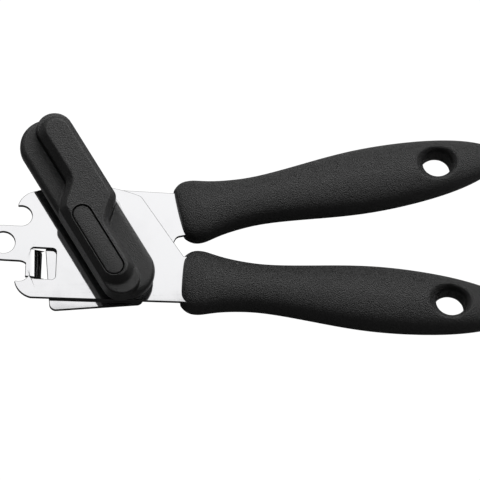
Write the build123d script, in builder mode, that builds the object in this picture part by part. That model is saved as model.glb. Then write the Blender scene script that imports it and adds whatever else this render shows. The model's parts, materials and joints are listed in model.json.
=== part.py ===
"""Manual can opener: two riveted steel plates in moulded handles, a turning key and two wheels.

Millimetres, +Z up, X along the tool towards the handles, with the key on top. The pieces are
drawn round the drive shaft: it stands on the Z axis, and the two plates meet at Z = 0. At the
end the whole tool is moved so that it lies on Z = 0 with the origin under the middle of its box.
"""

from build123d import *
from math import cos, radians, sin
import os

os.makedirs("parts", exist_ok=True)

# ---------------------------------------------------------------- plates
plate_thickness = 1.6
plate_gap = 0.1                  # air between the two sliding plates

# ---------------------------------------------------------------- hinge between the plates
hinge_offset = 4.2               # hinge centre to drive shaft: it parts the wheels as the tool opens
boss_radius = 8.8
boss_flange_radius = boss_radius + 1.2
boss_flange_thickness = 1.0
boss_ring_radius = boss_radius + 2.2
boss_ring_thickness = 0.8
running_clearance = 0.06         # radial, every turning fit
side_clearance = 0.05            # axial, every turning fit
hinge_eye_radius = boss_radius + 3.4    # back plate metal round the hinge

# ---------------------------------------------------------------- drive shaft and feed wheel
shaft_radius = 2.7
shaft_square = 1.63 * shaft_radius      # side of the square ends that drive the wheel and the key
feed_radius = 8.3
feed_tooth_depth = 1.0
feed_tooth_root = 0.3            # how far each tooth starts inside the wheel's blank
feed_tooth_count = 24
feed_thickness = 2.6
feed_washer_radius = shaft_radius + 1.3
feed_washer_thickness = 0.6
rivet_head_radius = shaft_radius + 0.7
rivet_head_height = 0.8

# ---------------------------------------------------------------- cutter
cutter_radius = 10.0
cutter_thickness = 1.4
cutter_bevel = 1.9               # radial width of the ground edge
cutter_edge_land = 0.12
wheel_overlap = 1.6              # radial overlap of cutter and feed wheel when the tool is shut
wheel_gap = 0.25                 # axial gap between the two wheels
stud_radius = 3.0
stud_tail_radius = stud_radius - 0.8
stud_head_radius = stud_radius + 1.0
stud_head_height = 0.5
cutter_spacer_radius = stud_radius + 1.6
cutter_washer_radius = stud_radius + 1.6
cutter_washer_thickness = 0.4

# ---------------------------------------------------------------- front plate head
head_turn = -6.0                 # degrees, plate outline against the tool's long axis
head_axis = -13.1                # the lifter head is symmetric about this line
head_half_height = 22.1
head_crown = 12.9                # highest point of the arched top edge
head_crown_right = 20.9          # where the arch meets the slanted edge
head_crown_end = 9.2
hook_start = -20.0
hook_tip = -26.4
hook_bulge = (-24.1, 19.9)       # point of the outer hook arc, across measured from head_axis
notch_offset = 11.5              # cap-lifter notches, either side of head_axis
notch_centre = -25.0
notch_radius = 4.25
eye_centre = -31.3
eye_radius = 4.5
corner_round = 3.0
tip_round = 0.35

# ---------------------------------------------------------------- rim guide tab and its window
window_left = -20.8
window_right = -10.8
window_top = -14.5
window_bottom = -27.5
window_corner = 1.6
tab_bend_radius = 3.0            # inside of the bend
tab_depth = 6.0                  # below the underside of the front plate
tab_side_gap = 0.8

# ---------------------------------------------------------------- back plate
back_left = -16.4
back_left_top = -12.5
back_bottom_left = -38.05
back_bottom_right = (18.5, -37.2)
back_throat = (34.3, -9.9)
back_corner_round = 2.5
back_eye_start = 68.0            # degrees, where the top edge leaves the hinge eye
back_eye_end = 172.0

# ---------------------------------------------------------------- handles
handle_front = {1: 35.8, -1: 34.8}   # X of the upper and the lower handle's front face
handle_level = -2.0              # Z of the handles' middle, low enough for the key to pass over them
handle_spacing = 13.9            # each handle's front centre from the line midway between them
handle_middle = -13.9            # Y of that line
handle_splay = 8.5               # degrees, each handle
handle_length = 130.0
handle_stations = [              # share of the length, half width, half thickness
    (0.000, 10.5, 5.2),
    (0.020, 12.1, 6.0),
    (0.045, 12.8, 6.5),
    (0.068, 12.6, 6.8),
    (0.100, 11.6, 6.9),
    (0.140, 10.5, 6.9),
    (0.215, 9.5, 6.9),
    (0.292, 9.85, 7.0),
    (0.385, 11.1, 7.3),
    (0.477, 12.35, 7.7),
    (0.569, 13.1, 7.9),
    (0.662, 12.95, 7.9),
    (0.754, 12.2, 7.5),
    (0.831, 10.9, 6.9),
    (0.892, 9.1, 6.1),
    (0.942, 7.0, 4.9),
    (0.977, 4.6, 3.6),
    (0.995, 2.4, 2.0),
    (1.000, 1.2, 1.2),
]
handle_corner_share = 0.72       # section corner radius against the half thickness
handle_front_round = 1.5
hang_hole_centre = 0.8 * handle_length
hang_hole_length = 12.2
hang_hole_width = 11.2
hang_hole_round = 2.0
hang_hole_rim_rise = 3.0         # a rim follows the handle's crown by less than this
neck_half_front = 9.5            # plate half width where it enters the lower handle
neck_half_back = 9.1             # the same at the upper handle
neck_shift = -0.5                # neck centre across the handle, both handles
neck_depth = 4.0
tang_half_width = 5.5
tang_length = handle_length / 2

# ---------------------------------------------------------------- key
key_angle = -64.0                # degrees, long axis of the key as drawn
key_length = 81.4
key_width = 22.4
key_underside = 5.4
key_base_top = 10.6
key_wall_top = 14.0
key_top = 17.0
key_base_round = 2.2
key_rib_width = 14.0             # raised offset bar
key_rib_end = key_length / 2 - 0.9
key_pad_far_end = key_rib_end - 1.5     # raised face, end away from the inlay
key_pad_near_end = key_rib_end - 4.2    # raised face, end beside the inlay
key_pad_slope = 2.6              # width of the sloping flank, seen from above
key_step_lean = 0.45             # how much the crossing moves along the key for each inset
key_step_start = 1.5             # where the bar begins to cross the middle
key_step_end = 12.8
inlay_start = 0.6
inlay_end = key_pad_near_end - 3.6
inlay_width = 7.4
inlay_shift = 0.75               # outwards from the middle of the raised bar
inlay_depth = 1.6
inlay_groove = 0.35
inlay_recess = 0.15
inlay_round = 0.3
hub_radius = 7.0
hub_insert_radius = shaft_radius + 1.9
hub_insert_flats = 2 * shaft_radius + 2.8
hub_insert_top = 13.0
thrust_washer_thickness = 0.6

# ---------------------------------------------------------------- levels worked out
front_bottom = 0.0
front_top = plate_thickness
back_top = -plate_gap
back_bottom = back_top - plate_thickness
ring_top = back_bottom - side_clearance
ring_bottom = ring_top - boss_ring_thickness
feed_top = ring_bottom - side_clearance
feed_bottom = feed_top - feed_thickness
feed_washer_bottom = feed_bottom - feed_washer_thickness
shaft_bottom = feed_washer_bottom - rivet_head_height
flange_top = front_top + boss_flange_thickness
thrust_bottom = flange_top
thrust_top = thrust_bottom + thrust_washer_thickness
hub_bottom = thrust_top + side_clearance
cutter_top = feed_bottom - wheel_gap
cutter_bottom = cutter_top - cutter_thickness
cutter_washer_top = cutter_bottom - side_clearance
cutter_washer_bottom = cutter_washer_top - cutter_washer_thickness
stud_bottom = cutter_washer_bottom - stud_head_height
cutter_distance = cutter_radius + feed_radius - wheel_overlap

# ---------------------------------------------------------------- frames
front_frame = Plane(origin=(0, 0, front_bottom), x_dir=(cos(radians(head_turn)), sin(radians(head_turn)), 0))
back_frame = Plane.XY.offset(back_bottom)
key_frame = Plane(origin=(0, 0, 0), x_dir=(cos(radians(key_angle)), sin(radians(key_angle)), 0))


def handle_frame(side):
    """Frame of one handle: X along it, Y across it, at Z = 0. side is 1 for upper, -1 for lower."""
    along = (cos(radians(handle_splay)), side * sin(radians(handle_splay)), 0)
    front = (handle_front[side], handle_middle + side * handle_spacing, 0)
    return Plane(origin=front, x_dir=along)


upper_frame = handle_frame(1)
lower_frame = handle_frame(-1)


def flat(frame, point):
    """A point of the part as x, y of a flat frame."""
    local = frame.to_local_coords(Vector(*point))
    return (local.X, local.Y)


def neck_corner(frame, side, half_width):
    """Where the plate's edge enters a handle, in the part's frame."""
    corner = frame.from_local_coords((0, neck_shift + side * half_width, 0))
    return (corner.X, corner.Y)


def tang_outline(half_neck):
    """Sketch faces of the metal inside a handle: a broad neck, then a narrow tang with a round end."""
    with Locations((neck_depth / 2, neck_shift)):
        Rectangle(neck_depth, 2 * half_neck)
    with Locations((tang_length / 2, 0)):
        Rectangle(tang_length, 2 * tang_half_width)
    with Locations((tang_length, 0)):
        Circle(tang_half_width)


# ================================================================ front plate
head_bottom = head_axis - head_half_height
head_top = head_axis + head_half_height
arm_half_width = notch_offset - notch_radius
tip_drop = (notch_radius**2 - (hook_tip - notch_centre) ** 2) ** 0.5
tip_across = notch_offset + tip_drop
notch_floor = notch_centre + notch_radius
neck_low = flat(front_frame, (*neck_corner(lower_frame, -1, neck_half_front), 0))
neck_high = flat(front_frame, (*neck_corner(lower_frame, 1, neck_half_front), 0))

with BuildPart() as front_plate:
    with BuildSketch(front_frame):
        with BuildLine():
            Line(neck_low, (hook_start, head_bottom))
            ThreePointArc(
                (hook_start, head_bottom),
                (hook_bulge[0], head_axis - hook_bulge[1]),
                (hook_tip, head_axis - tip_across),
            )
            ThreePointArc(
                (hook_tip, head_axis - tip_across),
                (notch_floor, head_axis - notch_offset),
                (notch_centre, head_axis - arm_half_width),
            )
            Line((notch_centre, head_axis - arm_half_width), (eye_centre, head_axis - arm_half_width))
            ThreePointArc(
                (eye_centre, head_axis - arm_half_width),
                (eye_centre - arm_half_width, head_axis),
                (eye_centre, head_axis + arm_half_width),
            )
            Line((eye_centre, head_axis + arm_half_width), (notch_centre, head_axis + arm_half_width))
            ThreePointArc(
                (notch_centre, head_axis + arm_half_width),
                (notch_floor, head_axis + notch_offset),
                (hook_tip, head_axis + tip_across),
            )
            ThreePointArc(
                (hook_tip, head_axis + tip_across),
                (hook_bulge[0], head_axis + hook_bulge[1]),
                (hook_start, head_top),
            )
            ThreePointArc(
                (hook_start, head_top),
                ((hook_start + head_crown_right) / 2, head_crown),
                (head_crown_right, head_crown_end),
            )
            Line((head_crown_right, head_crown_end), neck_high)
            Line(neck_high, neck_low)
        make_face()
        with Locations((eye_centre, head_axis)):
            Circle(eye_radius, mode=Mode.SUBTRACT)
        window_width = window_right - window_left
        window_height = window_top - window_bottom
        with Locations(((window_left + window_right) / 2, (window_top + window_bottom) / 2)):
            RectangleRounded(window_width, window_height, window_corner, mode=Mode.SUBTRACT)
    extrude(amount=plate_thickness)
    with BuildSketch(lower_frame.offset(front_bottom)):
        tang_outline(neck_half_front)
    extrude(amount=plate_thickness)
    crown_corner = front_frame.from_local_coords((head_crown_right, head_crown_end, 0))
    uprights = front_plate.edges().filter_by(Axis.Z)
    fillet(uprights.sort_by_distance(crown_corner)[0], radius=corner_round)
    for side in (-1, 1):
        tip = front_frame.from_local_coords((hook_tip, head_axis + side * tip_across, 0))
        uprights = front_plate.edges().filter_by(Axis.Z)
        fillet(uprights.sort_by_distance(tip)[0], radius=tip_round)
    # hole for the hinge boss
    with BuildSketch(Plane.XY.offset(front_bottom)):
        with Locations((hinge_offset, 0)):
            Circle(boss_radius)
    extrude(amount=plate_thickness, mode=Mode.SUBTRACT)
    # rim guide: a tab bent down at the left side of the window
    tab_middle = (window_top + window_bottom) / 2
    tab_width = window_height - 2 * tab_side_gap
    tab_outer = tab_bend_radius + plate_thickness
    tab_plane = Plane(
        origin=front_frame.from_local_coords((window_left, tab_middle, 0)),
        x_dir=front_frame.x_dir,
        z_dir=-front_frame.y_dir,
    )
    with BuildSketch(tab_plane):
        with BuildLine():
            Line((0, plate_thickness), (-plate_thickness, plate_thickness))
            Line((-plate_thickness, plate_thickness), (-plate_thickness, 0))
            Line((-plate_thickness, 0), (0, 0))
            RadiusArc((0, 0), (tab_bend_radius, -tab_bend_radius), tab_bend_radius)
            Line((tab_bend_radius, -tab_bend_radius), (tab_bend_radius, -tab_depth))
            Line((tab_bend_radius, -tab_depth), (tab_outer, -tab_depth))
            Line((tab_outer, -tab_depth), (tab_outer, -tab_bend_radius))
            RadiusArc((tab_outer, -tab_bend_radius), (0, plate_thickness), -tab_outer)
        make_face()
    extrude(amount=tab_width / 2, both=True)
front_plate.part.label = "front_plate"

# ================================================================ back plate
back_neck_low = neck_corner(upper_frame, -1, neck_half_back)
back_neck_high = neck_corner(upper_frame, 1, neck_half_back)


def on_hinge_eye(angle):
    """A point of the rounded metal round the hinge."""
    return (
        hinge_offset + hinge_eye_radius * cos(radians(angle)),
        hinge_eye_radius * sin(radians(angle)),
    )


with BuildPart() as back_plate:
    with BuildSketch(back_frame):
        with BuildLine():
            Line(back_neck_high, on_hinge_eye(back_eye_start))
            ThreePointArc(
                on_hinge_eye(back_eye_start),
                on_hinge_eye((back_eye_start + back_eye_end) / 2),
                on_hinge_eye(back_eye_end),
            )
            Polyline(
                on_hinge_eye(back_eye_end),
                (back_left, back_left_top),
                (back_left, back_bottom_left),
                back_bottom_right,
                back_throat,
                back_neck_low,
                back_neck_high,
            )
        make_face()
        with Locations((hinge_offset, 0)):
            Circle(boss_radius + running_clearance, mode=Mode.SUBTRACT)
        with Locations((0, -cutter_distance)):
            Circle(stud_tail_radius, mode=Mode.SUBTRACT)
    extrude(amount=plate_thickness)
    with BuildSketch(upper_frame.offset(back_bottom)):
        tang_outline(neck_half_back)
    extrude(amount=plate_thickness)
    back_corners = [(back_left, back_left_top), (back_left, back_bottom_left), back_bottom_right, back_throat]
    for corner in back_corners:
        uprights = back_plate.edges().filter_by(Axis.Z)
        fillet(uprights.sort_by_distance((*corner, back_bottom))[0], radius=back_corner_round)
back_plate.part.label = "back_plate"


# ================================================================ handles
def handle_section(frame, distance):
    """Plane across a handle at a distance from its front face."""
    centre = frame.from_local_coords((distance, 0, handle_level))
    return Plane(origin=centre, x_dir=frame.y_dir, z_dir=frame.x_dir)


def loft_handle(frame):
    """Rounded bar through the handle's sections, made in the part that is open."""
    sections = []
    for share, half_width, half_thickness in handle_stations:
        with BuildSketch(handle_section(frame, share * handle_length)) as section:
            corner = handle_corner_share * min(half_width, half_thickness)
            RectangleRounded(2 * half_width, 2 * half_thickness, corner)
        sections.append(section.sketch)
    loft(sections)


def cut_hang_hole(frame):
    """Oval through hole near the end of a handle."""
    with BuildSketch(frame) as oval:
        with Locations((hang_hole_centre, 0)):
            Ellipse(hang_hole_length / 2, hang_hole_width / 2)
    extrude(oval.sketch, amount=hang_hole_length, both=True, mode=Mode.SUBTRACT)


def round_rims(part, frame):
    """Rounds the two rims of the hang hole and the edge of the front face."""
    hole = frame.from_local_coords((hang_hole_centre, 0, handle_level))
    face = part.faces().sort_by_distance(frame.from_local_coords((0, 0, handle_level)))[0]
    fillet(face.edges(), radius=handle_front_round)
    wall = part.faces().sort_by_distance(hole)[0]
    rims = [edge for edge in wall.edges() if edge.bounding_box().size.Z < hang_hole_rim_rise]
    fillet(rims, radius=hang_hole_round)


with BuildPart() as upper_handle:
    loft_handle(upper_frame)
    cut_hang_hole(upper_frame)
    round_rims(upper_handle, upper_frame)
    with BuildSketch(upper_frame.offset(back_bottom)):
        tang_outline(neck_half_back)
    extrude(amount=plate_thickness, mode=Mode.SUBTRACT)
upper_handle.part.label = "upper_handle"

with BuildPart() as lower_handle:
    loft_handle(lower_frame)
    cut_hang_hole(lower_frame)
    round_rims(lower_handle, lower_frame)
    with BuildSketch(lower_frame.offset(front_bottom)):
        tang_outline(neck_half_front)
    extrude(amount=plate_thickness, mode=Mode.SUBTRACT)
lower_handle.part.label = "lower_handle"

# ================================================================ hinge boss and its ring
with BuildPart() as pivot_boss:
    with BuildSketch(Plane.XY.offset(ring_bottom)):
        with Locations((hinge_offset, 0)):
            Circle(boss_radius)
    extrude(amount=front_top - ring_bottom)
    with BuildSketch(Plane.XY.offset(front_top)):
        with Locations((hinge_offset, 0)):
            Circle(boss_flange_radius)
    extrude(amount=boss_flange_thickness)
    with BuildSketch(Plane.XY.offset(ring_bottom)):
        Circle(shaft_radius + running_clearance)
    extrude(amount=flange_top - ring_bottom, mode=Mode.SUBTRACT)
pivot_boss.part.label = "pivot_boss"

with BuildPart() as boss_ring:
    with BuildSketch(Plane.XY.offset(ring_bottom)):
        with Locations((hinge_offset, 0)):
            Circle(boss_ring_radius)
            Circle(boss_radius, mode=Mode.SUBTRACT)
    extrude(amount=boss_ring_thickness)
boss_ring.part.label = "boss_ring"

# ================================================================ drive shaft, washers and feed wheel
with BuildPart() as drive_shaft:
    with BuildSketch(Plane.XY.offset(feed_top)):
        Circle(shaft_radius)
    extrude(amount=hub_bottom - feed_top)
    with BuildSketch(Plane.XY.offset(feed_washer_bottom)):
        Rectangle(shaft_square, shaft_square)
        Circle(shaft_radius, mode=Mode.INTERSECT)
    extrude(amount=feed_top - feed_washer_bottom)
    with BuildSketch(Plane.XY.offset(hub_bottom)):
        Rectangle(shaft_square, shaft_square)
        Circle(shaft_radius, mode=Mode.INTERSECT)
    extrude(amount=hub_insert_top - hub_bottom)
    with BuildSketch(Plane.XY.offset(shaft_bottom)):
        Circle(rivet_head_radius)
    extrude(amount=rivet_head_height)
    fillet(drive_shaft.edges().group_by(Axis.Z)[0], radius=rivet_head_height / 2)
drive_shaft.part.label = "drive_shaft"


def square_bore():
    """The square hole that takes the shaft, in the sketch that is open."""
    with BuildSketch(mode=Mode.PRIVATE) as bore:
        Rectangle(shaft_square, shaft_square)
        Circle(shaft_radius, mode=Mode.INTERSECT)
    add(bore.sketch, mode=Mode.SUBTRACT)


def ring(bottom, outer, inner, thickness, centre=(0, 0)):
    """A flat washer, made in the part that is open."""
    with BuildSketch(Plane.XY.offset(bottom)) as face:
        with Locations(centre):
            Circle(outer)
            Circle(inner, mode=Mode.SUBTRACT)
    extrude(face.sketch, amount=thickness)


with BuildPart() as thrust_washer:
    ring(thrust_bottom, hub_radius, shaft_radius + running_clearance, thrust_washer_thickness)
thrust_washer.part.label = "thrust_washer"

with BuildPart() as feed_wheel:
    with BuildSketch(Plane.XY.offset(feed_bottom)):
        Circle(feed_radius - feed_tooth_depth)
        tooth_pitch = 360 / feed_tooth_count
        tooth_root = feed_radius - feed_tooth_depth - feed_tooth_root
        tooth_half_angle = radians(tooth_pitch / 2)
        root_x = tooth_root * cos(tooth_half_angle)
        root_y = tooth_root * sin(tooth_half_angle)
        with PolarLocations(0, feed_tooth_count):
            Polygon((0, 0), (root_x, -root_y), (feed_radius, 0), (root_x, root_y), align=None)
        square_bore()
    extrude(amount=feed_thickness)
feed_wheel.part.label = "feed_wheel"

with BuildPart() as feed_washer:
    with BuildSketch(Plane.XY.offset(feed_washer_bottom)):
        Circle(feed_washer_radius)
        square_bore()
    extrude(amount=feed_washer_thickness)
feed_washer.part.label = "feed_washer"

# ================================================================ cutter
cutter_centre = (0, -cutter_distance)

with BuildPart() as cutter_stud:
    with BuildSketch(Plane.XY.offset(cutter_washer_bottom)):
        with Locations(cutter_centre):
            Circle(stud_radius)
    extrude(amount=back_bottom - cutter_washer_bottom)
    with BuildSketch(back_frame):
        with Locations(cutter_centre):
            Circle(stud_tail_radius)
    extrude(amount=plate_thickness)
    with BuildSketch(Plane.XY.offset(stud_bottom)):
        with Locations(cutter_centre):
            Circle(stud_head_radius)
    extrude(amount=stud_head_height)
    fillet(cutter_stud.edges().group_by(Axis.Z)[0], radius=stud_head_height / 2)
cutter_stud.part.label = "cutter_stud"

with BuildPart() as cutter_spacer:
    spacer_height = back_bottom - cutter_top - side_clearance
    ring(cutter_top + side_clearance, cutter_spacer_radius, stud_radius, spacer_height, cutter_centre)
cutter_spacer.part.label = "cutter_spacer"

with BuildPart() as cutter_wheel:
    cutter_plane = Plane(origin=(*cutter_centre, 0), x_dir=(1, 0, 0), z_dir=(0, -1, 0))
    bore = stud_radius + running_clearance
    with BuildSketch(cutter_plane):
        Polygon(
            (bore, cutter_bottom),
            (cutter_radius - cutter_bevel, cutter_bottom),
            (cutter_radius, cutter_top - cutter_edge_land),
            (cutter_radius, cutter_top),
            (bore, cutter_top),
            align=None,
        )
    revolve(axis=Axis((*cutter_centre, 0), (0, 0, 1)))
cutter_wheel.part.label = "cutter_wheel"

with BuildPart() as cutter_washer:
    ring(cutter_washer_bottom, cutter_washer_radius, stud_radius, cutter_washer_thickness, cutter_centre)
cutter_washer.part.label = "cutter_washer"

# ================================================================ key
half_length = key_length / 2
half_width = key_width / 2
rib_inner = key_rib_width - half_width     # how far the raised bar reaches past the middle


def stepped_bar(level, far_end, near_end, inset=0.0):
    """Sketch of the raised bar: one half to the left of the key's axis, the other to the right."""
    outer = half_width - inset
    inner = rib_inner - inset
    end_radius = (outer + inner) / 2
    middle = (outer - inner) / 2
    far_turn = end_radius + inset - far_end
    near_turn = near_end - inset - end_radius
    with BuildSketch(key_frame.offset(level)) as bar:
        with BuildLine():
            ThreePointArc((far_turn, outer), (inset - far_end, middle), (far_turn, -inner))
            far_inner = Line((far_turn, -inner), (-key_step_end + key_step_lean * inset, -inner))
            near_outer = Line((-key_step_start + key_step_lean * inset, -outer), (near_turn, -outer))
            Spline(far_inner @ 1, near_outer @ 0, tangents=((1, 0), (1, 0)))
            ThreePointArc((near_turn, -outer), (near_end - inset, -middle), (near_turn, inner))
            near_inner = Line((near_turn, inner), (key_step_end - key_step_lean * inset, inner))
            far_outer = Line((key_step_start - key_step_lean * inset, outer), (far_turn, outer))
            Spline(near_inner @ 1, far_outer @ 0, tangents=((-1, 0), (-1, 0)))
        make_face()
    return bar.sketch


inlay_middle = -(half_width - key_rib_width / 2) - inlay_shift
inlay_length = inlay_end - inlay_start

with BuildPart() as key_body:
    with BuildSketch(key_frame.offset(key_underside)):
        SlotOverall(key_length, key_width)
    extrude(amount=key_base_top - key_underside)
    fillet(key_body.edges().group_by(Axis.Z)[-1], radius=key_base_round)
    extrude(stepped_bar(key_underside, key_rib_end, key_rib_end), amount=key_wall_top - key_underside)
    pad_foot = stepped_bar(key_wall_top, key_pad_far_end, key_pad_near_end)
    pad_face = stepped_bar(key_top, key_pad_far_end, key_pad_near_end, key_pad_slope)
    loft([pad_foot, pad_face], ruled=True)
    # hub under the key
    with BuildSketch(Plane.XY.offset(hub_bottom)):
        Circle(hub_radius)
    extrude(amount=key_underside - hub_bottom)
    with BuildSketch(Plane.XY.offset(hub_bottom)):
        Circle(hub_insert_radius)
        Rectangle(2 * hub_insert_radius, hub_insert_flats, mode=Mode.INTERSECT)
    extrude(amount=hub_insert_top - hub_bottom, mode=Mode.SUBTRACT)
    # pocket for the inlay
    with BuildSketch(key_frame.offset(key_top - inlay_depth)):
        with Locations(((inlay_start + inlay_end) / 2, inlay_middle)):
            SlotOverall(inlay_length + 2 * inlay_groove, inlay_width + 2 * inlay_groove)
    extrude(amount=inlay_depth, mode=Mode.SUBTRACT)
key_body.part.label = "key_body"

with BuildPart() as key_inlay:
    with BuildSketch(key_frame.offset(key_top - inlay_depth)):
        with Locations(((inlay_start + inlay_end) / 2, inlay_middle)):
            SlotOverall(inlay_length, inlay_width)
    extrude(amount=inlay_depth - inlay_recess)
    fillet(key_inlay.edges().group_by(Axis.Z)[-1], radius=inlay_round)
key_inlay.part.label = "key_inlay"

with BuildPart() as key_hub_insert:
    with BuildSketch(Plane.XY.offset(hub_bottom)):
        Circle(hub_insert_radius)
        Rectangle(2 * hub_insert_radius, hub_insert_flats, mode=Mode.INTERSECT)
        square_bore()
    extrude(amount=hub_insert_top - hub_bottom)
key_hub_insert.part.label = "key_hub_insert"

# ================================================================ files
pieces = [
    front_plate, back_plate, upper_handle, lower_handle, pivot_boss, boss_ring, drive_shaft,
    thrust_washer, feed_wheel, feed_washer, cutter_stud, cutter_spacer, cutter_wheel,
    cutter_washer, key_body, key_inlay, key_hub_insert,
]
# The finished tool stands on Z = 0, with the origin under the middle of its box.
whole = Compound(children=[piece.part.moved(Location()) for piece in pieces]).bounding_box()
onto_table = Location((-whole.center().X, -whole.center().Y, -whole.min.Z))
print("moved by", onto_table.position)
for piece in pieces:
    seated = piece.part.moved(onto_table)
    seated.label = piece.part.label
    export_step(seated, f"parts/{seated.label}.step")
    print(seated.label, "volume", round(seated.volume, 1), "mm3")
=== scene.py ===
# %% [markdown]
# # A manual can opener
# Two polished steel plates turn on a hinge boss. Each ends in a black moulded handle. A black key
# on top drives a toothed feed wheel below, beside a round cutter. The measured model is loaded as
# a fixed frame, and this lesson gives it its final shapes, finishes, light and camera.

# %% Load the measured model
import json
from math import cos, pi, radians, sqrt

import bmesh
import bpy
from mathutils import Matrix, Vector


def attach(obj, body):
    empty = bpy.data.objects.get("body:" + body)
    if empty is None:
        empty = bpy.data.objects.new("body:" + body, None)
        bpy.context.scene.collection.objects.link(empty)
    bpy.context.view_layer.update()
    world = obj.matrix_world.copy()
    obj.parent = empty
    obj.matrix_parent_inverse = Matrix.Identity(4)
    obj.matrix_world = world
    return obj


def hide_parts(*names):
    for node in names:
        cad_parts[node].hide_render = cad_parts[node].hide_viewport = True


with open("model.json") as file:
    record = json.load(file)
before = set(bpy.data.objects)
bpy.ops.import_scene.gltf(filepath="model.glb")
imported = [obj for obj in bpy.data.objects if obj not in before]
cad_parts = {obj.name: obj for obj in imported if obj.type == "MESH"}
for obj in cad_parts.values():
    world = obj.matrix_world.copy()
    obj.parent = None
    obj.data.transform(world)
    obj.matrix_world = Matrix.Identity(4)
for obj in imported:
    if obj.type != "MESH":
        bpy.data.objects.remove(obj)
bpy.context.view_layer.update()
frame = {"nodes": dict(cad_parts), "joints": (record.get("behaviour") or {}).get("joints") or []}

# %% [markdown]
# The plates, wheels and key were all drawn round the drive shaft, so its joint gives the place
# that every new piece is measured from. Lengths below are in millimetres and are brought to
# metres by one value.

# %% Where the drive shaft stands
MM = 0.001
joint_places = {joint["name"]: Vector(joint["pos_m"]) for joint in frame["joints"]}
shaft = joint_places["key_spin"]
print("drive shaft at", [round(1000 * part, 2) for part in shaft], "mm")

# %% [markdown]
# The tool lies flat and is seen from above and a little to the left of its near side, with a
# long lens, so its two ends run out of the view. A camera needs a point to look at, a direction
# back to the lens and an up direction. The third axis follows from those two.

# %% Camera
aim = shaft + Vector((58.31, -13.69, 2.81)) * MM
towards_lens = Vector((-0.1108, -0.3913, 0.9135)).normalized()
upwards = Vector((0.0432, 0.9164, 0.3979))
rightwards = upwards.cross(towards_lens).normalized()
upwards = towards_lens.cross(rightwards)
view_width = 184.8 * MM
focal_length = 250.0
sensor_width = 36.0

camera_data = bpy.data.cameras.new("studio_camera")
camera_data.lens = focal_length
camera_data.sensor_width = sensor_width
camera_data.clip_start = 0.05
camera_data.clip_end = 50.0
camera = bpy.data.objects.new("studio_camera", camera_data)
bpy.context.scene.collection.objects.link(camera)
distance = view_width * focal_length / sensor_width
turned = Matrix((rightwards, upwards, towards_lens)).transposed().to_4x4()
camera.matrix_world = Matrix.Translation(aim + towards_lens * distance) @ turned
bpy.context.scene.camera = camera
bpy.context.scene.view_settings.view_transform = "Standard"
print("camera stands", round(distance, 3), "m from the tool")

# %% [markdown]
# Polished steel shows whatever it faces. Seen from the camera, a level plate faces a point high
# up behind the tool, so a broad soft light hangs there and the plates turn near white. The light
# hangs low, and its near edge lies just past what the plates show of it. The lower handle stands
# nearer than the plates, so it sees less of the light and comes out darker than the upper one.

# %% Lights
def soft_light(name, middle, facing, width, height, radiance):
    """A rectangular light, placed from the aim point, that looks as bright as its radiance says."""
    data = bpy.data.lights.new(name, "AREA")
    data.shape = "RECTANGLE"
    data.size = width
    data.size_y = height
    data.energy = radiance * pi * width * height
    lamp = bpy.data.objects.new(name, data)
    bpy.context.scene.collection.objects.link(lamp)
    lamp.location = aim + Vector(middle)
    lamp.rotation_mode = "QUATERNION"
    lamp.rotation_quaternion = Vector(facing).to_track_quat("Z", "Y")
    lamp.visible_camera = False
    print(name, "gives", round(data.energy, 2), "W")


box_middle = (0.257, 0.419, 0.35)
box_width = 0.70
box_height = 0.60
box_radiance = 0.62
soft_light("overhead_box", box_middle, (0, 0, 1), box_width, box_height, box_radiance)

# %% [markdown]
# The room itself is a sweep that is bright behind the tool and falls off over its top to a dim
# near side. The dot product of a direction with the brightest one says how bright it is. A ramp
# brings that to 0 to 1, and a power bends the ramp, so that most of the fall is behind the tool.
# The near side keeps a little light, or the steel would be black from behind.

# %% Room
dimmest = 0.13
brightest = 2.9
ramp_start = -0.2
ramp_bend = 2.4
brightest_way = (0.3, 0.95, 0)
world = bpy.data.worlds.new("dim_studio")
bpy.context.scene.world = world
world.use_nodes = True
room = world.node_tree
room_direction = room.nodes.new("ShaderNodeTexCoord")
towards_bright = room.nodes.new("ShaderNodeVectorMath")
towards_bright.operation = "DOT_PRODUCT"
towards_bright.inputs[1].default_value = brightest_way
room_ramp = room.nodes.new("ShaderNodeMapRange")
room_ramp.inputs["From Min"].default_value = ramp_start
room_curve = room.nodes.new("ShaderNodeMath")
room_curve.operation = "POWER"
room_curve.inputs[1].default_value = ramp_bend
room_level = room.nodes.new("ShaderNodeMath")
room_level.operation = "MULTIPLY_ADD"
room_level.inputs[1].default_value = brightest
room_level.inputs[2].default_value = dimmest
room.nodes["Background"].inputs["Color"].default_value = (1, 1, 1, 1)
room.links.new(room_direction.outputs["Generated"], towards_bright.inputs[0])
room.links.new(towards_bright.outputs["Value"], room_ramp.inputs["Value"])
room.links.new(room_ramp.outputs["Result"], room_curve.inputs[0])
room.links.new(room_curve.outputs[0], room_level.inputs[0])
room.links.new(room_level.outputs[0], room.nodes["Background"].inputs["Strength"])
print("the room goes from", dimmest, "on the near side to", brightest, "behind the tool")

# %% [markdown]
# Some nodes have several sockets of one name, one for each data type, and a name alone finds the
# first of them. Looking only through the sockets that are switched on finds the one in use.

# %% Sockets by name among those that are switched on
class SwitchedOn:
    """The enabled inputs or outputs of a node, found by name or by number."""

    def __init__(self, sockets):
        self.sockets = [socket for socket in sockets if socket.enabled]

    def __getitem__(self, key):
        if isinstance(key, int):
            return self.sockets[key]
        return next(socket for socket in self.sockets if socket.name == key)


# %% [markdown]
# A finish is a small graph of nodes. Written out, the sums of a graph fill pages, so one class
# wraps a socket: a plus or a times sign between two of them adds the Math node. A second class
# holds the material, and has one method that adds any other node.

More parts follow.
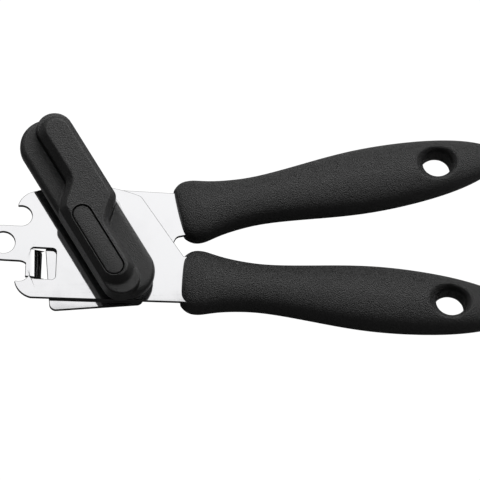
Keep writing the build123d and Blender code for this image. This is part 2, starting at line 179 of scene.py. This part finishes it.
# %% Shader sums as plain expressions
class Shade:
    """A number that varies over a surface: the output socket of a node."""

    def __init__(self, tree, socket):
        self.tree = tree
        self.socket = socket

    def sum_with(self, operation, other, swapped=False):
        made = self.tree.nodes.new("ShaderNodeMath")
        made.operation = operation
        pair = (other, self) if swapped else (self, other)
        for place, value in enumerate(pair):
            if isinstance(value, Shade):
                self.tree.links.new(value.socket, made.inputs[place])
            else:
                made.inputs[place].default_value = value
        return Shade(self.tree, made.outputs[0])

    def __add__(self, other):
        return self.sum_with("ADD", other)

    def __radd__(self, other):
        return self.sum_with("ADD", other, swapped=True)

    def __sub__(self, other):
        return self.sum_with("SUBTRACT", other)

    def __rsub__(self, other):
        return self.sum_with("SUBTRACT", other, swapped=True)

    def __mul__(self, other):
        return self.sum_with("MULTIPLY", other)

    def __rmul__(self, other):
        return self.sum_with("MULTIPLY", other, swapped=True)


class Finish:
    """One material and its graph."""

    def __init__(self, name, metallic=0.0, ior=1.5):
        self.material = bpy.data.materials.new(name)
        self.material.use_nodes = True
        self.tree = self.material.node_tree
        self.surface = self.tree.nodes["Principled BSDF"]
        self.surface.inputs["Metallic"].default_value = metallic
        self.surface.inputs["IOR"].default_value = ior
        print("finish", name)

    def node(self, kind, sockets=None, stops=None, output=0, **settings):
        """Adds a node: its settings first, then its ramp stops, then its sockets."""
        made = self.tree.nodes.new("ShaderNode" + kind)
        for setting, value in settings.items():
            setattr(made, setting, value)
        for element, (place, grey) in zip(made.color_ramp.elements if stops else (), stops or ()):
            element.position = place
            element.color = (grey, grey, grey, 1)
        for socket, value in (sockets or {}).items():
            self.feed(SwitchedOn(made.inputs)[socket], value)
        return Shade(self.tree, SwitchedOn(made.outputs)[output])

    def feed(self, socket, value):
        """Links a shade to a socket, or writes a plain value on it."""
        if isinstance(value, Shade):
            self.tree.links.new(value.socket, socket)
        else:
            socket.default_value = value

    def place(self, scale=(1, 1, 1), turn=(0, 0, 0), centre=(0, 0, 0)):
        """Object coordinates, moved, turned and scaled."""
        where = self.node("TexCoord", output="Object")
        settings = {"Vector": where, "Scale": scale, "Rotation": turn, "Location": centre}
        return self.node("Mapping", settings, vector_type="TEXTURE" if any(centre) else "POINT")

    def noise(self, place, scale, detail=2.0, roughness=0.5):
        """Cloudy noise from 0 to 1."""
        return self.node(
            "TexNoise",
            {"Vector": place, "Scale": scale, "Detail": detail, "Roughness": roughness},
            output="Fac",
        )

    def between(self, share, low, high):
        """A colour between two colours."""
        return self.node(
            "Mix",
            {"Factor": share, "A": (*low, 1), "B": (*high, 1)},
            output="Result",
            data_type="RGBA",
        )

    def ramp(self, share, low, high):
        """0 below the low value, 1 above the high one."""
        return self.node("ValToRGB", {"Fac": share}, stops=((low, 0), (high, 1)))

    def bump(self, height, strength, depth, over=None):
        """Small relief in the surface; depth is in metres."""
        sockets = {"Height": height, "Strength": strength, "Distance": depth}
        if over is not None:
            sockets["Normal"] = over
        return self.node("Bump", sockets, output="Normal")

    def finish(self, colour, roughness, normal=None):
        """Feeds the surface shader and gives the material back."""
        self.feed(self.surface.inputs["Base Color"], colour)
        self.feed(self.surface.inputs["Roughness"], roughness)
        if normal is not None:
            self.feed(self.surface.inputs["Normal"], normal)
        return self.material


# %% [markdown]
# The plates are pressed from stainless sheet and polished to a mirror. What gives a mirror away
# as steel is what disturbs it: a faint waviness left by the press, hair-fine scratches along the
# tool, and fingerprints, which only roughen it.

# %% Mirror-polished steel
def polished_steel():
    steel = Finish("mirror_steel", metallic=1.0)
    where = steel.place()
    waviness = steel.noise(where, scale=22.0, detail=1.0)
    smudges = steel.ramp(steel.noise(where, scale=60.0, detail=4.0, roughness=0.6), 0.52, 0.78)
    along = steel.place(scale=(30.0, 2600.0, 900.0), turn=(0, 0, radians(7)))
    scratches = steel.noise(along, scale=1.0, detail=3.0)
    across = steel.place(scale=(2200.0, 40.0, 900.0), turn=(0, 0, radians(-31)))
    cross_scratches = steel.noise(across, scale=1.0, detail=2.0)
    hairlines = steel.ramp(scratches * 0.6 + cross_scratches * 0.4, 0.55, 0.75)
    colour = steel.between(smudges * 0.5, (0.69, 0.69, 0.70), (0.62, 0.62, 0.63))
    roughness = 0.045 + hairlines * 0.09 + smudges * 0.05
    normal = steel.bump(waviness, 0.35, 0.0004)
    normal = steel.bump(hairlines, 0.05, 0.00001, over=normal)
    return steel.finish(colour, roughness, normal)


mirror_steel = polished_steel()

# %% [markdown]
# The rivets, washers and rings are turned and then tumbled in a drum, which leaves them evenly
# satin with small dents. The wheels are hardened and ground, so rings from the grinding run round
# their own axes. The wheel's axis is brought to the pattern's middle by the Mapping node. Where
# sheet is cut, the press tears it into fine lines. The cut sides are painted near black, a painted
# shade that draws the dark gap lines along the plate edges.

# %% Tumbled steel and ground steel
def tumbled_steel():
    steel = Finish("tumbled_steel", metallic=1.0)
    where = steel.place()
    dents = steel.noise(where, scale=900.0, detail=3.0)
    stains = steel.ramp(steel.noise(where, scale=140.0, detail=4.0, roughness=0.6), 0.45, 0.75)
    colour = steel.between(stains, (0.66, 0.66, 0.67), (0.50, 0.50, 0.50))
    return steel.finish(colour, 0.24 + stains * 0.12 + dents * 0.08, steel.bump(dents, 0.25, 0.00003))


def ground_steel(name, centre):
    steel = Finish(name, metallic=1.0)
    where = steel.place(centre=centre)
    rings = steel.node(
        "TexWave",
        {"Vector": where, "Scale": 520.0, "Distortion": 2.0, "Detail": 2.0, "Detail Scale": 6.0},
        output="Fac",
        wave_type="RINGS",
        rings_direction="Z",
    )
    marks = steel.noise(steel.place(), scale=300.0, detail=4.0, roughness=0.6)
    marks = steel.ramp(marks, 0.5, 0.8)
    colour = steel.between(marks, (0.60, 0.60, 0.61), (0.42, 0.42, 0.43))
    return steel.finish(colour, 0.2 + rings * 0.12 + marks * 0.12, steel.bump(rings, 0.3, 0.00002))


def painted_shade_edge_steel():
    """The cut side of a pressed sheet, torn into fine upright lines and painted near black: painted
    shade for the gap lines at the plate edges.
    """
    steel = Finish("sheared_edge", metallic=1.0)
    tear = steel.noise(steel.place(scale=(1.0, 1.0, 0.15)), scale=2600.0, detail=3.0)
    # Near-black colour: painted shade for the dark gap lines at the plate edges. The tear lines are
    # real.
    colour = steel.between(tear, (0.02, 0.02, 0.02), (0.08, 0.08, 0.08))
    return steel.finish(colour, 0.34 + tear * 0.2, steel.bump(tear, 0.4, 0.00004))


satin_rivets = tumbled_steel()
sheared_edge = painted_shade_edge_steel()
feed_steel = ground_steel("ground_feed_wheel", shaft)
cutter_steel = ground_steel("ground_cutter", joint_places["cutter_spin"])

# %% [markdown]
# The handles and the key are moulded in black plastic from a spark-eroded mould, so the surface
# is a fine even grain, not smooth. Use has polished the edges a little: there the grain is
# fainter and the gloss is up. Pointiness tells edges from flats.

# %% Black moulded plastic
def moulded_plastic(name, dark, light, gloss, grain_size, grain_depth):
    plastic = Finish(name, ior=1.5)
    where = plastic.place()
    grain = plastic.noise(where, scale=1.0 / grain_size, detail=2.5, roughness=0.55)
    patches = plastic.noise(where, scale=45.0, detail=3.0)
    edges = plastic.ramp(plastic.node("NewGeometry", output="Pointiness"), 0.512, 0.56)
    tone = patches * 0.35 + grain * 0.55 + edges * 0.25
    colour = plastic.between(tone, dark, light)
    roughness = gloss + (patches - 0.5) * 0.10 + (grain - 0.5) * 0.22 - edges * 0.08
    return plastic.finish(colour, roughness, plastic.bump(grain * (1 - edges * 0.6), 0.55, grain_depth))


handle_black = moulded_plastic(
    "handle_black", (0.0008, 0.0008, 0.0008), (0.0035, 0.0035, 0.0036),
    gloss=0.34, grain_size=0.00040, grain_depth=0.00150,
)
key_black = moulded_plastic(
    "key_black", (0.0008, 0.0008, 0.0008), (0.003, 0.003, 0.0032),
    gloss=0.33, grain_size=0.00038, grain_depth=0.00060,
)
inlay_black = moulded_plastic(
    "inlay_black", (0.0008, 0.0008, 0.0008), (0.0025, 0.0025, 0.0026),
    gloss=0.40, grain_size=0.00040, grain_depth=0.00075,
)

# %% [markdown]
# Every new piece starts as a primitive and is worked on in edit mode. These few helpers do what
# a hand does with the mouse: let go of everything, pick by place, add a modifier and apply it.

# %% Helpers for modelling
def let_go():
    """Back to object mode with nothing selected."""
    if bpy.context.object and bpy.context.object.mode != "OBJECT":
        bpy.ops.object.mode_set(mode="OBJECT")
    bpy.ops.object.select_all(action="DESELECT")


def take_up(piece):
    """Makes one piece the only selected and active one."""
    let_go()
    piece.select_set(True)
    bpy.context.view_layer.objects.active = piece


def edit(piece):
    """Opens a piece in edit mode with nothing selected."""
    take_up(piece)
    bpy.ops.object.mode_set(mode="EDIT")
    bpy.ops.mesh.select_all(action="DESELECT")


def pick(piece, kind, test):
    """In edit mode, selects only the verts, edges or faces whose middle passes the test."""
    bpy.ops.mesh.select_mode(type={"verts": "VERT", "edges": "EDGE", "faces": "FACE"}[kind])
    bpy.ops.mesh.select_all(action="DESELECT")
    mesh = bmesh.from_edit_mesh(piece.data)
    for part in getattr(mesh, kind):
        if kind == "verts":
            middle = part.co
        elif kind == "edges":
            middle = (part.verts[0].co + part.verts[1].co) / 2
        else:
            middle = part.calc_center_median()
        part.select_set(bool(test(middle)))
    mesh.select_flush_mode()
    bmesh.update_edit_mesh(piece.data)


def modify(piece, kind, **settings):
    """Adds a modifier and applies it."""
    take_up(piece)
    modifier = piece.modifiers.new(kind.lower(), kind)
    for setting, value in settings.items():
        setattr(modifier, setting, value)
    bpy.ops.object.modifier_apply(modifier=modifier.name)


def fix_in_place(piece):
    """Brings the object's move, turn and scale into its mesh."""
    take_up(piece)
    bpy.ops.object.transform_apply(location=True, rotation=True, scale=True)


def smooth_shaded(piece, angle=35.0):
    take_up(piece)
    bpy.ops.object.shade_smooth_by_angle(angle=radians(angle))


def dressed(piece, material, slot, body, *nodes):
    """Gives a finished piece its material and its body, and hides what it stands for. The slot argument
    is not used.
    """
    if not piece.data.materials:
        piece.data.materials.append(material)
    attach(piece, body)
    if nodes:
        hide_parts(*nodes)
    faces = sum(len(face.vertices) - 2 for face in piece.data.polygons)
    print(piece.name, faces, "triangles on", body)


# %% [markdown]
# ## Handles
# Each handle is a soft bar, nearly flat on top, narrow behind a broad front, full in the palm
# and rounded off past its hang hole. One could loft it from curves. Here a ring of eight
# corners is pushed out along the bar section by section, because a subdivision surface over
# eight corners gives the crowned section by itself: the more the four diagonal corners stand
# out, the squarer it gets.

# %% Handle sections
handle_sections = [  # from the front, half width, half thickness, in mm
    (0.0, 9.6, 4.3),
    (0.5, 10.3, 4.9),
    (1.6, 11.5, 5.5),
    (3.4, 12.75, 6.05),
    (5.6, 13.15, 6.5),
    (8.2, 12.9, 6.95),
    (9.2, 12.65, 7.0),
    (12.5, 11.75, 6.95),
    (17.5, 10.6, 6.9),
    (28.0, 9.45, 6.9),
    (38.0, 9.9, 7.0),
    (50.0, 11.15, 7.3),
    (62.0, 12.5, 7.7),
    (74.0, 13.3, 7.9),
    (86.0, 13.15, 7.9),
    (98.0, 12.35, 7.5),
    (108.0, 11.0, 6.9),
    (116.0, 9.25, 6.1),
    (122.5, 7.1, 4.9),
    (127.0, 4.7, 3.6),
    (129.4, 2.4, 2.0),
    (129.8, 1.4, 1.2),
]
corner_stand = 1.12          # how far the diagonal corners stand out
cage_swell = 1.069           # the surface stays inside its cage by about this much
hang_hole_place = 104.0
hang_hole_size = (11.6, 10.6)
hang_hole_flare = 2.9
flare_bend = 1.2              # 1 is a straight cone, more opens like a trumpet
flare_steps = 6
surface_at_hole = 7.1         # half the bar's thickness there


def handle_blank():
    """One handle along +X from its front, about the origin, without its hole."""
    let_go()
    bpy.ops.mesh.primitive_circle_add(
        vertices=8, radius=MM, fill_type="NGON", rotation=(0, radians(-90), 0)
    )
    blank = bpy.context.object
    fix_in_place(blank)
    edit(blank)
    pick(blank, "verts", lambda at: min(abs(at.y), abs(at.z)) > 0.5 * MM)
    bpy.ops.transform.resize(value=(1, corner_stand, corner_stand))
    bpy.ops.mesh.select_all(action="SELECT")
    last_place, last_width, last_thickness = 0.0, 1.0, 1.0
    for place, half_width, half_thickness in handle_sections:
        if place > 0:
            step = ((place - last_place) * MM, 0, 0)
            bpy.ops.mesh.extrude_region_move(TRANSFORM_OT_translate={"value": step})
        stretch = (1, half_width / last_width, half_thickness / last_thickness)
        bpy.ops.transform.resize(value=stretch)
        last_place, last_width, last_thickness = place, half_width, half_thickness
    bpy.ops.mesh.select_all(action="SELECT")
    bpy.ops.transform.resize(value=(1, cage_swell, cage_swell), center_override=(0, 0, 0))
    bpy.ops.mesh.normals_make_consistent(inside=False)
    let_go()
    modify(blank, "SUBSURF", levels=3, render_levels=3)
    return blank


# %% [markdown]
# The hang hole is cut with an oval plug that flares at both ends, because the real rim slopes
# softly into the hole. A cut leaves its edges sharp. Remeshing the bar into even small faces and
# relaxing them rounds the rim and keeps the rest of the surface where it was.

# %% Hang hole and handle copies
def hang_hole_plug():
    """An oval plug that opens out at both ends."""
    let_go()
    throat = 2 * (surface_at_hole - hang_hole_flare) * MM
    bpy.ops.mesh.primitive_cylinder_add(vertices=64, radius=0.5, depth=throat)
    plug = bpy.context.object
    plug.scale = (hang_hole_size[0] * MM, hang_hole_size[1] * MM, 1)
    fix_in_place(plug)
    edit(plug)
    for side in (-1, 1):
        pick(plug, "faces", lambda at: side * at.z > throat / 2 - 0.01 * MM)
        last_height, last_reach = 0.0, 0.0
        for step in range(1, flare_steps + 1):
            height = hang_hole_flare * step / flare_steps
            reach = hang_hole_flare * (step / flare_steps) ** flare_bend
            rise = (0, 0, side * (height - last_height) * MM)
            bpy.ops.mesh.extrude_region_move(TRANSFORM_OT_translate={"value": rise})
            grown = [(size + 2 * reach) / (size + 2 * last_reach) for size in hang_hole_size]
            bpy.ops.transform.resize(value=(grown[0], grown[1], 1))
            last_height, last_reach = height, reach
        bpy.ops.mesh.extrude_region_move(TRANSFORM_OT_translate={"value": (0, 0, side * 4 * MM)})
    bpy.ops.mesh.select_all(action="SELECT")
    bpy.ops.mesh.normals_make_consistent(inside=False)
    bpy.ops.transform.translate(value=(hang_hole_place * MM, 0, 0))
    let_go()
    return plug


def handle_with_hole():
    handle = handle_blank()
    plug = hang_hole_plug()
    modify(handle, "BOOLEAN", operation="DIFFERENCE", object=plug, solver="EXACT")
    bpy.data.objects.remove(plug)
    modify(handle, "REMESH", mode="VOXEL", voxel_size=0.5 * MM)
    modify(handle, "SMOOTH", factor=0.5, iterations=6)
    smooth_shaded(handle, 60.0)
    return handle


handle_splay = radians(8.5)
handle_places = (  # name, side, front face beside the drive shaft, body
    ("upper_handle", 1, Vector((35.8, 0.0, -2.0)) * MM, "lever"),
    ("lower_handle", -1, Vector((34.8, -27.8, -2.0)) * MM, "frame"),
)

handle_shape = handle_with_hole()
for name, side, front, body in handle_places:
    handle = bpy.data.objects.new(name + "_moulding", handle_shape.data.copy())
    bpy.context.scene.collection.objects.link(handle)
    handle.location = shaft + front
    handle.rotation_euler = (0, 0, side * handle_splay)
    fix_in_place(handle)
    dressed(handle, handle_black, "handle_plastic", body, name)
bpy.data.objects.remove(handle_shape)

# %% [markdown]
# ## Key
# The key is a flat capsule with a raised bar on it. The bar runs along the far side of one half
# and crosses to the near side of the other, so each thumb has a step to push on. The bar has an
# upright wall, then a narrow ledge at its ends, then a sloping flank up to a flat top. It is
# built lying along X: each tier is a ladder of rungs, drawn by pushing one edge along.

# %% Rungs of the raised bar
key_half_width = 11.2
bar_width = 14.0
cross_start = 1.5
cross_end = 12.8
end_rungs = 14
cross_rungs = 12


def eased(share):
    """A smooth S from 0 to 1."""
    share = min(1.0, max(0.0, share))
    return share * share * (3 - 2 * share)


def bar_sides(along, far_end, near_end):
    """Lower and upper side of the bar at a place along the key."""
    drop = key_half_width - (bar_width - key_half_width)
    span = cross_end - cross_start
    low = bar_width - key_half_width
    lower = -low - drop * eased((along + cross_end) / span)
    upper = key_half_width - drop * eased((along - cross_start) / span)
    end_round = bar_width / 2
    for end, turn in ((-far_end, 1), (near_end, -1)):
        inwards = turn * (along - end)
        if inwards < end_round:
            middle = (lower + upper) / 2
            reach = sqrt(max(0.0, end_round**2 - (end_round - inwards) ** 2))
            lower, upper = middle - reach, middle + reach
    return lower, upper


def rung_places(far_end, near_end):
    """Places of the rungs: close together round the ends and across the step."""
    end_round = bar_width / 2
    quarter = [end_round * (1 - cos(pi / 2 * step / end_rungs)) for step in range(1, end_rungs + 1)]
    places = [-far_end + 0.02] + [-far_end + part for part in quarter]
    places += [-cross_end + cross_end * step / cross_rungs for step in range(2 * cross_rungs + 1)]
    places += [near_end - part for part in reversed(quarter)] + [near_end - 0.02]
    return places


print("the bar is", bar_width, "mm wide and crosses between", -cross_end, "and", cross_end, "mm")


# %% Tiers of the key
def ladder(name, far_end, near_end, level):
    """A flat strip in the bar's outline: one edge pushed along from rung to rung."""
    let_go()
    bpy.ops.mesh.primitive_plane_add(size=MM)
    strip = bpy.context.object
    strip.name = name
    edit(strip)
    pick(strip, "verts", lambda at: at.x < 0)
    bpy.ops.mesh.delete(type="VERT")
    bpy.ops.mesh.select_all(action="SELECT")
    bpy.ops.transform.translate(value=(0.5 * MM, 0, level * MM))
    last_along, last_middle, last_width = 0.0, 0.0, 1.0
    for count, along in enumerate(rung_places(far_end, near_end)):
        lower, upper = bar_sides(along, far_end, near_end)
        middle, width = (lower + upper) / 2, upper - lower
        step = ((along - last_along) * MM, (middle - last_middle) * MM, 0)
        if count == 0:
            bpy.ops.transform.translate(value=(step[0] - MM, step[1], 0))
        else:
            bpy.ops.mesh.extrude_region_move(TRANSFORM_OT_translate={"value": step})
        bpy.ops.transform.resize(value=(1, width / last_width, 1))
        last_along, last_middle, last_width = along, middle, width
    return strip


def raise_strip(strip, height):
    """Gives the strip its thickness and turns its faces outwards."""
    bpy.ops.mesh.select_all(action="SELECT")
    bpy.ops.mesh.extrude_region_move(TRANSFORM_OT_translate={"value": (0, 0, height * MM)})
    bpy.ops.mesh.select_all(action="SELECT")
    bpy.ops.mesh.normals_make_consistent(inside=False)


def capsule(name, length, width, bottom, top, sides=96, along=0.0, across=0.0):
    """A cylinder pulled out to a capsule with flat top and bottom."""
    let_go()
    bpy.ops.mesh.primitive_cylinder_add(
        vertices=sides, radius=width / 2 * MM, depth=(top - bottom) * MM,
        location=(0, 0, (top + bottom) / 2 * MM),
    )
    piece = bpy.context.object
    piece.name = name
    fix_in_place(piece)
    edit(piece)
    pull = (length - width) / 2 * MM
    for side in (-1, 1):
        pick(piece, "verts", lambda at: side * at.x > 0.01 * MM)
        bpy.ops.transform.translate(value=(side * pull, 0, 0))
    bpy.ops.mesh.select_all(action="SELECT")
    bpy.ops.transform.translate(value=(along * MM, across * MM, 0))
    return piece


def round_top_rim(piece, top, radius, segments):
    """Bevels the edges that lie in the top level."""
    pick(piece, "edges", lambda at: at.z > (top - 0.01) * MM)
    bpy.ops.mesh.bevel(offset=radius * MM, segments=segments, profile=0.5, affect="EDGES")


# %% [markdown]
# The tiers are joined and remeshed into one skin, then relaxed, so that every edge gets the
# small radius of a moulding and every inner corner a fillet. The pocket for the inlay is cut
# after that, since its edge is crisp on the real one, and gets a thin raised lip.

# %% Key body
key_levels = {"underside": 5.4, "base": 10.6, "wall": 14.0, "top": 16.88}
key_length = 81.4
wall_end = 39.8
wall_root = 4                 # how far the wall reaches down into the base
pad_root = 3.0
pad_far_end = 38.3
pad_near_end = 35.6
pad_slope = 2.6
inlay_span = (0.6, 32.0)
inlay_width = 7.4
inlay_across = -4.95
pocket_gap = 0.35
pocket_depth = 1.6
hub_radius = 7.0
hub_foot = 3.25


def key_blank():
    base = capsule(
        "key_base", key_length, 2 * key_half_width, key_levels["underside"], key_levels["base"]
    )
    round_top_rim(base, key_levels["base"], radius=2.2, segments=6)
    pick(base, "edges", lambda at: at.z < (key_levels["underside"] + 0.01) * MM)
    bpy.ops.mesh.bevel(offset=0.9 * MM, segments=3, profile=0.5, affect="EDGES")
    wall = ladder("key_wall", wall_end, wall_end, key_levels["base"] - wall_root)
    raise_strip(wall, key_levels["wall"] - key_levels["base"] + wall_root)
    pad = ladder("key_pad", pad_far_end, pad_near_end, key_levels["wall"] - pad_root)
    raise_strip(pad, pad_root)
    pick(pad, "faces", lambda at: at.z > (key_levels["wall"] - 0.01) * MM)
    bpy.ops.mesh.inset(thickness=pad_slope * MM, depth=(key_levels["top"] - key_levels["wall"]) * MM)
    hub = capsule("key_hub", 2 * hub_radius, 2 * hub_radius, hub_foot, key_levels["underside"] + 2)
    let_go()
    for piece in (wall, pad, hub, base):
        piece.select_set(True)
    bpy.context.view_layer.objects.active = base
    bpy.ops.object.join()
    edit(base)
    bpy.ops.mesh.select_all(action="SELECT")
    bpy.ops.mesh.normals_make_consistent(inside=False)
    let_go()
    modify(base, "REMESH", mode="VOXEL", voxel_size=0.3 * MM)
    modify(base, "SMOOTH", factor=0.5, iterations=7)
    return base


key_body = key_blank()
inlay_middle = sum(inlay_span) / 2
inlay_length = inlay_span[1] - inlay_span[0]
pocket = capsule(
    "pocket", inlay_length + 2 * pocket_gap, inlay_width + 2 * pocket_gap,
    key_levels["top"] - pocket_depth, key_levels["top"] + 2, along=inlay_middle, across=inlay_across,
)
let_go()
modify(key_body, "BOOLEAN", operation="DIFFERENCE", object=pocket, solver="EXACT")
bpy.data.objects.remove(pocket)
key_body.name = "key_moulding"
smooth_shaded(key_body, 40.0)

# %% Inlay and the lip of its pocket
inlay_top = key_levels["top"] - 0.1
lip_thickness = 0.22
inlay = capsule(
    "key_inlay_moulding", inlay_length, inlay_width,
    key_levels["top"] - pocket_depth, inlay_top, along=inlay_middle, across=inlay_across,
)
round_top_rim(inlay, inlay_top, radius=0.6, segments=4)
let_go()
smooth_shaded(inlay, 50.0)

let_go()
bpy.ops.mesh.primitive_torus_add(
    major_segments=96, minor_segments=10,
    major_radius=(inlay_width / 2 + pocket_gap + 0.12) * MM, minor_radius=lip_thickness * MM,
)
lip = bpy.context.object
lip.name = "key_pocket_lip"
edit(lip)
lip_pull = (inlay_length - inlay_width) / 2 * MM
for side in (-1, 1):
    pick(lip, "verts", lambda at: side * at.x > 0.01 * MM)
    bpy.ops.transform.translate(value=(side * lip_pull, 0, 0))
bpy.ops.mesh.select_all(action="SELECT")
lip_height = key_levels["top"] - 0.12
bpy.ops.transform.translate(value=(inlay_middle * MM, inlay_across * MM, lip_height * MM))
let_go()
smooth_shaded(lip, 60.0)

key_angle = radians(-64.0)
key_pieces = (
    (key_body, key_black, "key_plastic", ("key_body",)),
    (inlay, inlay_black, "inlay_plastic", ("key_inlay",)),
    (lip, key_black, "key_plastic", ()),
)
for piece, material, slot, nodes in key_pieces:
    piece.rotation_euler = (0, 0, key_angle)
    piece.location = shaft
    fix_in_place(piece)
    dressed(piece, material, slot, "key", *nodes)

# %% [markdown]
# ## Steel pieces
# Pressed and turned steel has no knife edges: a drum of stones takes them off. A copy of each
# measured piece is merged, freed of the seams inside its flats and given a fine bevel, which
# draws the thin bright or dark line that every real edge has. On the two sheets the bevel takes
# the near-black painted shade of the cut sides, which draws the shadowed gap lines along the
# plate edges, and is not held back where edges are short.

# %% Deburred steel
def painted_shade_sides(piece):
    """Gives the upright cut sides of a sheet the second material, the painted shade of the cut sides.
    """
    piece.data.materials.append(sheared_edge)
    for face in piece.data.polygons:
        if abs(face.normal.z) < 0.35:
            face.material_index = 1


def deburred(node, width, body, material, slot):
    piece = bpy.data.objects.new(node + "_finished", frame["nodes"][node].data.copy())
    bpy.context.scene.collection.objects.link(piece)
    piece.data.materials.clear()
    piece.data.materials.append(material)
    edit(piece)
    bpy.ops.mesh.select_all(action="SELECT")
    bpy.ops.mesh.remove_doubles(threshold=0.002 * MM)
    bpy.ops.mesh.dissolve_limited(angle_limit=radians(0.5))
    let_go()
    is_sheet = material is mirror_steel
    if is_sheet:
        painted_shade_sides(piece)
    # On the sheets the bevel takes material 1, the painted shade of the cut sides.
    modify(
        piece, "BEVEL", width=width * MM, segments=2, limit_method="ANGLE",
        angle_limit=radians(40), material=1 if is_sheet else -1,
        use_clamp_overlap=not is_sheet,
    )
    smooth_shaded(piece, 30.0)
    modify(piece, "WEIGHTED_NORMAL", keep_sharp=True, weight=80)
    dressed(piece, material, slot, body, node)


steel_pieces = (  # node, bevel in mm, body, finish, slot
    ("front_plate", 0.20, "frame", mirror_steel, "plate_steel"),
    ("back_plate", 0.20, "lever", mirror_steel, "plate_steel"),
    ("pivot_boss", 0.15, "frame", satin_rivets, "rivet_steel"),
    ("boss_ring", 0.12, "frame", satin_rivets, "rivet_steel"),
    ("thrust_washer", 0.08, "frame", satin_rivets, "rivet_steel"),
    ("drive_shaft", 0.10, "key", satin_rivets, "rivet_steel"),
    ("key_hub_insert", 0.10, "key", satin_rivets, "rivet_steel"),
    ("feed_wheel", 0.08, "key", feed_steel, "tool_steel"),
    ("feed_washer", 0.08, "key", satin_rivets, "rivet_steel"),
    ("cutter_stud", 0.08, "lever", satin_rivets, "rivet_steel"),
    ("cutter_spacer", 0.10, "lever", satin_rivets, "rivet_steel"),
    ("cutter_washer", 0.06, "lever", satin_rivets, "rivet_steel"),
    ("cutter_wheel", 0.02, "cutter", cutter_steel, "tool_steel"),
)
for node, width, body, material, slot in steel_pieces:
    deburred(node, width, body, material, slot)

# %% [markdown]
# ## Floor
# The floor is a plain white sheet under the tool. It is lit from below like a light table as far
# as the lens sees it, so it stays clean white, and it throws only a soft bounce on the tool.

# %% Floor
let_go()
bpy.ops.mesh.primitive_plane_add(size=8.0, location=(0, 0, -0.4 * MM))
floor = bpy.context.object
floor.name = "white_floor"
sheet = Finish("white_sheet")
glow = sheet.node("Emission", {"Color": (1, 1, 1, 1), "Strength": 1.05})
paper = sheet.node("BsdfDiffuse", {"Color": (0.35, 0.35, 0.35, 1)})
seen = sheet.node("LightPath", output="Is Camera Ray")
both = sheet.tree.nodes.new("ShaderNodeMixShader")
sheet.feed(both.inputs[0], seen)
sheet.feed(both.inputs[1], paper)
sheet.feed(both.inputs[2], glow)
sheet.feed(sheet.tree.nodes["Material Output"].inputs["Surface"], Shade(sheet.tree, both.outputs[0]))
floor.data.materials.append(sheet.material)
